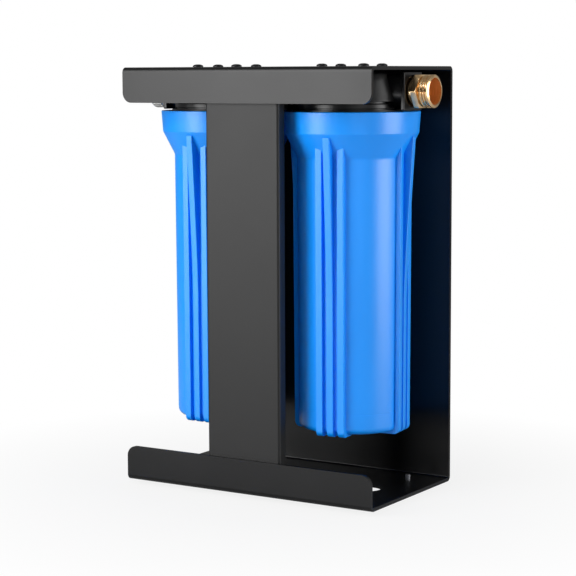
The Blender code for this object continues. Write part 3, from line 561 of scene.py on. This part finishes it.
def upright(heading=0.0):
    """Stands an outline up: its X then points along the heading, and its Y points up."""
    return Matrix.Rotation(heading, 4, "Z") @ Matrix.Rotation(QUARTER_TURN, 4, "X")


def along_x(x, heading):
    """Lays a turned shape on the axis of the ports, its height pointing to +X or -X."""
    return at(x, AXIS_Y, PORT_Z) @ Matrix.Rotation(heading * QUARTER_TURN, 4, "Y")


def to_object(name, shape):
    """The shape as an object, in metres."""
    bmesh.ops.scale(shape, vec=(MM, MM, MM), verts=shape.verts)
    mesh = bpy.data.meshes.new(name)
    shape.to_mesh(mesh)
    shape.free()
    item = bpy.data.objects.new(name, mesh)
    bpy.context.scene.collection.objects.link(item)
    return item


def bake(item):
    """Turns an object's modifiers into mesh."""
    view_layer = bpy.context.view_layer
    view_layer.update()
    mesh = bpy.data.meshes.new_from_object(item.evaluated_get(view_layer.depsgraph))
    item.modifiers.clear()
    item.data = mesh


def combine(item, shape, operation):
    """Joins a shape to an object, or cuts it out. The shape is used up."""
    other = to_object(item.name + "_tool", shape)
    modifier = item.modifiers.new("combine", "BOOLEAN")
    modifier.operation = operation
    modifier.object = other
    bake(item)
    bpy.data.objects.remove(other, do_unlink=True)


def soften(item, width_mm, steps):
    """Rounds every sharp edge."""
    modifier = item.modifiers.new("soften", "BEVEL")
    modifier.width = width_mm * MM
    modifier.segments = steps
    modifier.limit_method = "ANGLE"
    modifier.angle_limit = SHARP
    bake(item)


def dress(item, material, *nodes, sharp=SHARP):
    """Finishes a piece that stands for CAD nodes, all on one body."""
    item.data.materials.clear()
    item.data.materials.append(material)
    item.data.shade_smooth()
    item.data.set_sharp_from_angle(angle=sharp)
    item.data.transform(Matrix.Translation(SHIFT))
    even = item.modifiers.new("even_shading", "WEIGHTED_NORMAL")
    even.keep_sharp = True
    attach(item, BODY_OF[nodes[0]])
    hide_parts(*nodes)
    return item


def carried_over(material, *nodes):
    """Gives CAD parts whose shape is right their material."""
    for node in nodes:
        mesh = frame["nodes"][node].data
        mesh.materials.clear()
        mesh.materials.append(material)


# Stand

def four_places(span_x, span_y, centre_x=0.0, centre_y=0.0):
    """Places at the corners of a rectangle, from the left front one to the right back one."""
    return [(centre_x + across * span_x, centre_y + along * span_y)
            for across in (-1, 1) for along in (-1, 1)]


def screw_places(side):
    """The screws of one head."""
    return four_places(*SCREW_SPAN, side * HEAD_X, AXIS_Y)


def is_lip_corner(edge):
    """Whether an edge of the plain bent sheet is the outer corner of a lip."""
    first, second = (point.co for point in edge.verts)
    through = abs(first.x - second.x) < TINY and abs(first.z - second.z) < TINY
    height = min(first.z, STAND_HEIGHT - first.z)
    return through and abs(height - LIP) < TINY


def stand(material):
    """The bent sheet, with its lip corners, holes and softened edges."""
    inside = BEND - SHEET
    back = HALF_DEPTH - SHEET
    front = -back
    plate = STAND_HEIGHT - SHEET
    top_lip = STAND_HEIGHT - LIP
    outline = rounded((
        (-HALF_DEPTH, top_lip, 0), (-HALF_DEPTH, STAND_HEIGHT, BEND),
        (HALF_DEPTH, STAND_HEIGHT, BEND), (HALF_DEPTH, 0, BEND), (-HALF_DEPTH, 0, BEND),
        (-HALF_DEPTH, LIP, 0), (front, LIP, 0), (front, SHEET, inside), (back, SHEET, inside),
        (back, plate, inside), (front, plate, inside), (front, top_lip, 0),
    ))
    shape = placed(slab(outline, -HALF_WIDTH, HALF_WIDTH), upright(QUARTER_TURN))
    corners = [edge for edge in shape.edges if is_lip_corner(edge)]
    bmesh.ops.bevel(shape, geom=corners, offset=LIP_CORNER, segments=LIP_CORNER_STEPS,
                    profile=0.5, affect="EDGES")
    item = to_object("bent_stand", shape)
    screws = screw_places(-1) + screw_places(1)
    drains = ((-DRAIN_X, DRAIN_Y), (DRAIN_X, DRAIN_Y))
    floor = (-OVERRUN, SHEET + OVERRUN)
    combine(item, rods(screws, SCREW_HOLE, plate - OVERRUN, STAND_HEIGHT + OVERRUN),
            "DIFFERENCE")
    combine(item, rods(drains, DRAIN_RADIUS, *floor, ROUND), "DIFFERENCE")
    combine(item, rods(four_places(*FOOT_SPAN), SCREW_HOLE, *floor), "DIFFERENCE")
    soften(item, EDGE_ROUND, EDGE_STEPS)
    return dress(item, material, "stand_shell")


def post(material):
    """The channel behind the lips."""
    web = POST_FRONT + POST_SHEET
    left = POST_LEFT + POST_SHEET
    right = POST_RIGHT - POST_SHEET
    outline = rounded((
        (POST_LEFT, POST_BACK, 0), (POST_LEFT, POST_FRONT, POST_BEND),
        (POST_RIGHT, POST_FRONT, POST_BEND), (POST_RIGHT, POST_BACK, 0),
        (right, POST_BACK, 0), (right, web, POST_CREASE),
        (left, web, POST_CREASE), (left, POST_BACK, 0),
    ))
    item = to_object("channel_post", slab(outline, *POST_ENDS))
    soften(item, EDGE_ROUND, EDGE_STEPS)
    return dress(item, material, "front_post")


def button_screws(material):
    """Button-head screws with a hexagon socket."""
    rows = []
    for degrees in range(0, 91, 10):
        lean = math.radians(degrees)
        rows.append((SCREW_HEAD * math.sin(lean), SCREW_RIM + SCREW_DOME * math.cos(lean)))
    rows += [(SCREW_HEAD, 0.12), (SCREW_HEAD - 0.15, 0.0), (SCREW_SHANK, 0.0)]
    rows += threaded_rows(SCREW_THREAD, -0.5, -11.0)
    rows += [(SCREW_SHANK - 0.3, -SCREW_LENGTH), (0, -SCREW_LENGTH)]
    for word, side in SIDES:
        for number, (x, y) in enumerate(screw_places(side), start=1):
            item = to_object(f"{word}_button_screw_{number}", turned(rows, SCREW_ROUND))
            socket = rods([(0, 0)], SOCKET_CORNER, SOCKET_FLOOR, SOCKET_MOUTH, 6)
            combine(item, socket, "DIFFERENCE")
            item.data.transform(Matrix.Rotation(number * SOCKET_TURN + side, 4, "Z"))
            place = Vector((x, y, STAND_HEIGHT + SCREW_SEAT)) * MM
            item.data.transform(Matrix.Translation(place))
            dress(item, material, f"{word}_head_screw_{number}")


def feet(rubber, steel):
    """Rubber feet with a grip ring below, and their studs."""
    names = ("front_left_foot", "back_left_foot", "front_right_foot", "back_right_foot")
    rows = rows_of((
        (0, -2.8, 0), (2.7, -2.8, 0), (2.7, -0.3, 0), (9.0, -0.3, 0.4), (8.0, -4.3, 0.8),
        (5.6, -4.3, 0.3), (5.3, -3.7, 0.3), (3.6, -3.7, 0.3), (3.3, -4.3, 0.3), (0, -4.3, 0),
    ))
    stud = [(0, 8.2), (1.9, 8.2), (2.2, 7.9)]
    stud += threaded_rows(STUD_THREAD, 7.6, 1.0) + [(2.4, 0.8), (2.4, -2.5), (0, -2.5)]
    for name, (x, y) in zip(names, four_places(*FOOT_SPAN)):
        pad = placed(turned(rows, SMALL_ROUND), at(x, y))
        dress(to_object(name.replace("foot", "rubber_foot"), pad), rubber, name)
        bolt = placed(turned(stud, SCREW_ROUND), at(x, y))
        dress(to_object(name + "_bolt", bolt), steel, name + "_stud")


# Heads and sumps

def bored_port(item, x, heading, depth):
    """Cuts a pipe socket into a head, and the passage behind it."""
    rows = [(0, OVERRUN), (PORT_BORE, OVERRUN), (PORT_BORE, -PORT_DEPTH), (PASSAGE, -PORT_DEPTH),
            (PASSAGE, -depth), (0, -depth)]
    tool = turned(rows, PORT_ROUND)
    combine(item, placed(tool, along_x(x + heading * PORT_REACH, heading)), "DIFFERENCE")


def head(word, side, material):
    """The moulded head with its ports, and the thread on its skirt."""
    rows = rows_of((
        # crown and cone
        (0, 354.7, 0), (40.4, 354.7, 0.8), (42.9, 352.0, 1.5), (49.2, 330.0, 0.2),
        (49.2, 329.5, 0.2),
        # groove, ring and flange
        (43.5, 329.5, 0.3), (43.5, 327.5, 0.3), (45.5, 327.5, 0.9), (45.5, 323.2, 0.7),
        (44.0, 323.2, 0), (44.0, 322.3, 0), (48.0, 322.3, 0.3), (48.0, 321.3, 0.1),
        (49.2, 321.3, 0),
    ))
    rows += threaded_rows(HEAD_THREAD, 321.0, 299.3)
    rows += rows_of((
        # inside of the skirt, seat and spigot
        (49.2, 298.3, 0.2), (42.0, 298.3, 0.5), (42.0, 321.3, 2.0), (18.0, 321.3, 1.0),
        (18.0, 309.6, 0.3), (12.5, 309.6, 0.3), (12.5, 304.6, 0.6), (0, 304.6, 0),
    ))
    x = side * HEAD_X
    item = to_object(f"{word}_moulded_head", placed(turned(rows, THREAD_ROUND), at(x, AXIS_Y)))
    for outline, low, high in PORT_BARS:
        bar = eased(slab(rounded(outline), low, high), PORT_EDGE, PORT_EDGE_STEPS)
        combine(item, placed(bar, upright(QUARTER_TURN), at(x, AXIS_Y, PORT_Z)), "UNION")
    bored_port(item, x, -1, INLET_DEPTH)
    bored_port(item, x, 1, OUTLET_DEPTH)
    combine(item, rods([(x, AXIS_Y)], DUCT, DUCT_BOTTOM, PORT_Z, SMALL_ROUND), "DIFFERENCE")
    combine(item, rods([(x - FEED_X, AXIS_Y)], FEED, FEED_BOTTOM, PORT_Z), "DIFFERENCE")
    combine(item, rods(screw_places(side), SCREW_HOLE, *SCREW_BORE), "DIFFERENCE")
    return dress(item, material, f"{word}_head")


def rib(gusset):
    """One rib, standing on the X axis with its foot at height zero."""
    outline = [(RIB_FOOT, 0, 0.6), (RIB_TIP, 0, RIB_NOSE)]
    if gusset:
        top = GUSSET_TOP
        for step in range(GUSSET_STEPS + 1):
            rise = step / GUSSET_STEPS
            height = top - (1 - rise) * GUSSET_LENGTH
            tip = RIB_TIP + RIB_DRAFT * height / RIB_TOP
            outline.append((tip + GUSSET_DEPTH * rise ** GUSSET_CURVE, height, 0))
    else:
        top = RIB_TOP
        outline.append((RIB_TIP + RIB_DRAFT, top, 0))
    outline += [(RIB_INSIDE, top, 0), (RIB_INSIDE, 9.0, 0), (39.0, 4.0, 0), (RIB_FOOT, 4.0, 0)]
    plate = slab(rounded(outline), -RIB_WIDTH / 2, RIB_WIDTH / 2)
    item = to_object("rib", placed(plate, upright()))
    soften(item, RIB_EDGE, RIB_EDGE_STEPS)
    return item


def sump(word, side, material):
    """The moulded sump: collar, cone, ribbed barrel and the hollow with its thread."""
    rows = rows_of((
        # spigot and seat on the bottom, wall of the hollow
        (0, 58.0, 0), (10.0, 58.0, 0.5), (10.0, 66.0, 0.5), (12.5, 66.0, 0.5), (12.5, 61.0, 0.3),
        (18.0, 61.0, 0.5), (18.0, 58.0, 1.0), (41.0, 58.0, 3.0), (42.0, 297.6, 0.5),
        # groove for the seal ring, and foot of the thread: its last corner only guides the arc
        (44.5, 297.6, 0.1), (44.5, 293.9, 0.3), (48.7, 293.9, 0.3), (48.7, 297.6, 0.1),
        (51.6, 297.6, 0.3), (52.5, 298.5, 0.1), (52.5, 299.0, 0),
    ))[:-1]
    rows += reversed(threaded_rows(SUMP_THREAD, 319.0, 299.0))
    rows += rows_of((
        # collar and cone
        (51.2, 319.2, 0), (51.9, 321.0, 0.3), (57.5, 321.0, 0.8), (56.2, 303.0, 2.0),
        (46.0, 283.0, 6.0),
        # barrel with a fine groove, and the bottom
        (45.07, 71.4, 0), (44.95, 71.2, 0), (44.95, 70.8, 0), (45.07, 70.6, 0),
        (45.05, 62.0, 0), (45.0, 54.0, 5.2), (0, 54.0, 0),
    ))
    place = at(side * HEAD_X, AXIS_Y)
    item = to_object(f"{word}_moulded_sump", placed(turned(rows, THREAD_ROUND), place))
    plain = rib(False)
    flared = rib(True)
    for group in range(RIB_GROUPS):
        degrees = CLOCKING[word] - 90 + 360 / RIB_GROUPS * group
        turn = Matrix.Rotation(math.radians(degrees), 4, "Z")
        for offset in (-1, 0, 1):
            single = bmesh.new()
            single.from_mesh((plain if offset else flared).data)
            bmesh.ops.scale(single, vec=(1 / MM, 1 / MM, 1 / MM), verts=single.verts)
            shift = place @ turn @ at(0, offset * RIB_SPACING, RIB_BOTTOM)
            combine(item, placed(single, shift), "UNION")
    for pattern in (plain, flared):
        bpy.data.objects.remove(pattern, do_unlink=True)
    return dress(item, material, f"{word}_sump", sharp=CRISP)


def seal_ring(word, side, material):
    """The O-ring in the groove of a sump."""
    radius, height = SEAL_MIDDLE
    section = []
    for step in range(SEAL_STEPS):
        angle = FULL_TURN * step / SEAL_STEPS
        section.append((radius + SEAL_RADIUS * math.cos(angle),
                        height - SEAL_RADIUS * math.sin(angle)))
    shape = placed(turned(section), at(side * HEAD_X, AXIS_Y))
    return dress(to_object(f"{word}_seal_ring", shape), material, f"{word}_sump_o_ring")


# Fittings

def fitting(name, node, rows, x, heading, material, segments=THREAD_ROUND):
    """A turned piece on the axis of the ports."""
    item = to_object(name, placed(turned(rows, segments), along_x(x, heading)))
    return dress(item, material, node)


def outlet_fitting(material, bore_painted_bounce_material):
    """Hexagon, hose thread and bore of the outlet, and the pipe thread inside the port."""
    rows = [(11.0, 20.1), (11.3, 20.4), (11.9, 20.4), (13.3, 19.5)]
    rows += threaded_rows(HOSE_THREAD, 19.4, 12.6, HOSE_PITCH_STEPS)
    rows += [(12.0, 12.2), (11.8, 11.8), (11.8, 10.7), (12.3, 10.4)]
    rows += hexagon_rows(OUTLET_HEXAGON, 4.9, 10.4, 0.3, 1.2)
    rows += [(11.2, 4.9), (11.2, -3.0), (12.6, -3.2)]
    rows += threaded_rows(PIPE_THREAD, -3.4, -14.4)
    rows += [(12.2, -15.0), (PASSAGE, -15.0), (PASSAGE, 8.2), (9.2, 8.4), (10.8, 8.4),
             (11.0, 8.6)]
    item = fitting("brass_outlet", "outlet_adapter", rows, PORT_FACE, 1, material)
    item.data.materials.append(bore_painted_bounce_material)
    axis = Vector((0, AXIS_Y, PORT_Z)) * MM + SHIFT
    # the faces inside the bore take the painted bounce colour
    for face in item.data.polygons:
        across = face.center - axis
        face.material_index = int(Vector((across.y, across.z)).length < BORE_EDGE * MM)
    return item


def grip(depth):
    """The radius of a ring of flutes, cut to a depth."""
    def reach(angle, _height):
        return GRIP_RADIUS - depth * max(0.0, math.cos(GRIP_FLUTES * angle)) ** 0.5
    return reach


def inlet_fitting(material, rubber):
    """The inlet's tail, its free nut with a grip round it, and the washer in the nut."""
    tail = [(7.5, 9.3), (7.7, 9.5), (12.2, 9.5), (12.4, 9.3), (12.4, 7.9), (12.2, 7.7),
            (9.6, 7.7), (9.6, 5.0), (12.5, 4.8)]
    tail += hexagon_rows(PIPE_HEXAGON, 0.3, 4.8, 1.0, 1.0)
    tail += [(12.8, 0.3)] + threaded_rows(PIPE_THREAD, 0.0, -14.4)
    tail += [(12.2, -15.0), (7.5, -15.0)]
    fitting("inlet_tail", "inlet_adapter", tail, -PORT_FACE, -1, material)
    smooth, fluted = grip(0.0), grip(GRIP_DEPTH)
    nut = [(13.1, 16.8), (14.0, 16.8), (smooth, 16.1), (smooth, 15.6), (fluted, 15.2),
           (fluted, 7.0), (smooth, 6.6), (smooth, 5.8), (14.0, 5.1), (10.1, 5.1), (10.1, 7.4),
           (13.0, 7.4), (13.0, 12.7)]
    nut += reversed(threaded_rows(NUT_THREAD, 16.4, 12.9, NUT_PITCH_STEPS))
    fitting("swivel_nut", "inlet_swivel_nut", nut, -PORT_FACE, -1, material, GRIP_ROUND)
    washer = rows_of(((7.5, 12.6, 0.3), (12.8, 12.6, 0.3), (12.8, 9.8, 0.3), (7.5, 9.8, 0.3)))
    fitting("hose_washer", "inlet_hose_washer", washer, -PORT_FACE, -1, rubber, PORT_ROUND)


def middle_nipple(material):
    """The hexagon nipple that joins the two heads."""
    rows = [(PASSAGE, 19.8), (12.2, 19.8)] + threaded_rows(PIPE_THREAD, 19.4, 5.2)
    rows += [(12.6, 4.6)] + hexagon_rows(PIPE_HEXAGON, -4.5, 4.5, 1.0, 1.0)
    rows += [(12.6, -4.6)] + threaded_rows(PIPE_THREAD, -5.2, -19.4)
    rows += [(12.2, -19.8), (PASSAGE, -19.8)]
    return fitting("hexagon_nipple", "head_nipple", rows, 0, 1, material)


# Stage, lights and camera

def white_share(tree, reflected):
    """How much of a ray sees plain white: all of a straight one, a share of a reflected one."""
    rays = add_node(tree, "ShaderNodeLightPath").outputs
    softened = add_node(tree, "ShaderNodeMath", {"operation": "MULTIPLY", 1: reflected},
                        {0: rays["Is Glossy Ray"]})
    straight = add_node(tree, "ShaderNodeMath", {"operation": "MAXIMUM"},
                        {0: rays["Is Camera Ray"], 1: rays["Is Transmission Ray"]})
    most = add_node(tree, "ShaderNodeMath", {"operation": "MAXIMUM"},
                    {0: straight.outputs[0], 1: softened.outputs[0]})
    return most.outputs[0]


def mixed(tree, share, first, second, output):
    """Mixes two shaders by a share, into the output node of the tree."""
    mix = add_node(tree, "ShaderNodeMixShader", None,
                   {0: share, 1: first.outputs[0], 2: second.outputs[0]})
    tree.links.new(mix.outputs[0], tree.nodes[output].inputs["Surface"])


def studio_floor():
    """A paper sweep: near the object it is a little grey, a painted shade that fades out with
    distance, and the object's own shadow shows there; further off it is plain white.
    """
    material, shader = surface("white_paper_floor", "#c8c8c8", 0.9)
    tree = material.node_tree
    place = add_node(tree, "ShaderNodeTexCoord")
    distance = add_node(tree, "ShaderNodeVectorMath", {"operation": "LENGTH"},
                        {0: place.outputs["Object"]})
    (near, far), (least, most) = FLOOR_FADE, FLOOR_WHITE
    fade = add_node(tree, "ShaderNodeMapRange",
                    {"From Min": near, "From Max": far, "To Min": least, "To Max": most},
                    {"Value": distance.outputs["Value"]})
    share = add_node(tree, "ShaderNodeMath", {"operation": "MULTIPLY"},
                     {0: white_share(tree, FLOOR_REFLECTED), 1: fade.outputs["Result"]})
    glow = add_node(tree, "ShaderNodeEmission", {"Color": WHITE, "Strength": 1.0})
    mixed(tree, share.outputs[0], shader, glow, "Material Output")
    bpy.ops.mesh.primitive_plane_add(size=FLOOR_SIZE, location=(0, 0, 0))
    floor = bpy.context.object
    floor.name = "paper_floor"
    floor.data.materials.append(material)


def world_light():
    """An even dim room that is seen as white."""
    world = bpy.data.worlds.new("white_room")
    bpy.context.scene.world = world
    world.use_nodes = True
    tree = world.node_tree
    plain = tree.nodes["Background"]
    plain.inputs["Color"].default_value = WHITE
    plain.inputs["Strength"].default_value = AMBIENT
    seen = add_node(tree, "ShaderNodeBackground", {"Color": WHITE})
    mixed(tree, white_share(tree, ROOM_REFLECTED), plain, seen, "World Output")


def soft_box(name, azimuth, elevation, distance, width, height, power):
    """A rectangular soft box that faces the object. Azimuth 0 is in front, and 90 at +X."""
    data = bpy.data.lights.new(name, "AREA")
    data.shape = "RECTANGLE"
    data.size = width
    data.size_y = height
    data.energy = power
    item = bpy.data.objects.new(name, data)
    bpy.context.scene.collection.objects.link(item)
    turn, lift = math.radians(azimuth), math.radians(elevation)
    level = math.cos(lift)
    back = Vector((math.sin(turn) * level, -math.cos(turn) * level, math.sin(lift)))
    item.location = LIGHTS_AIM + back * distance
    item.rotation_euler = back.to_track_quat("Z", "Y").to_euler()


def lights():
    """The soft boxes."""
    for name, numbers in SOFT_BOXES.items():
        soft_box(name, *numbers)


def camera():
    """The view of the photograph."""
    forward = CAMERA_FORWARD.normalized()
    level = forward.cross(Vector((0, 0, 1))).normalized()
    above = level.cross(forward)
    right = level * math.cos(CAMERA_ROLL) + above * math.sin(CAMERA_ROLL)
    up = above * math.cos(CAMERA_ROLL) - level * math.sin(CAMERA_ROLL)
    data = bpy.data.cameras.new("photo_camera")
    data.sensor_width = CAMERA_SENSOR
    data.lens = CAMERA_LENS
    item = bpy.data.objects.new("photo_camera", data)
    bpy.context.scene.collection.objects.link(item)
    turn = Matrix((right, up, -forward)).transposed()
    item.matrix_world = Matrix.Translation(CAMERA_PLACE + SHIFT) @ turn.to_4x4()
    bpy.context.scene.camera = item


def build():
    """Every piece, with its material."""
    coat = powder_coated_steel()
    black = moulded_black_polypropylene()
    blue = moulded_blue_polypropylene()
    brass = turned_brass()
    nickel = nickel_plated_brass()
    rubber = moulded_rubber()
    stand(coat)
    post(powder_coated_post())
    button_screws(blackened_steel())
    feet(rubber, zinc_plated_steel())
    for word, side in SIDES:
        head(word, side, black)
        sump(word, side, blue)
        seal_ring(word, side, rubber)
    outlet_fitting(brass, bore_brass_painted_bounce())
    inlet_fitting(nickel, rubber)
    middle_nipple(brass)
    carried_over(spun_polypropylene(), "sediment_cartridge")
    carried_over(pressed_carbon(), "carbon_block")
    carried_over(moulded_white_polypropylene(), "carbon_bottom_cap", "carbon_top_cap")
    carried_over(rubber, "carbon_bottom_gasket", "carbon_top_gasket")


camera()
world_light()
lights()
studio_floor()
build()
bpy.context.scene.view_settings.view_transform = "Standard"
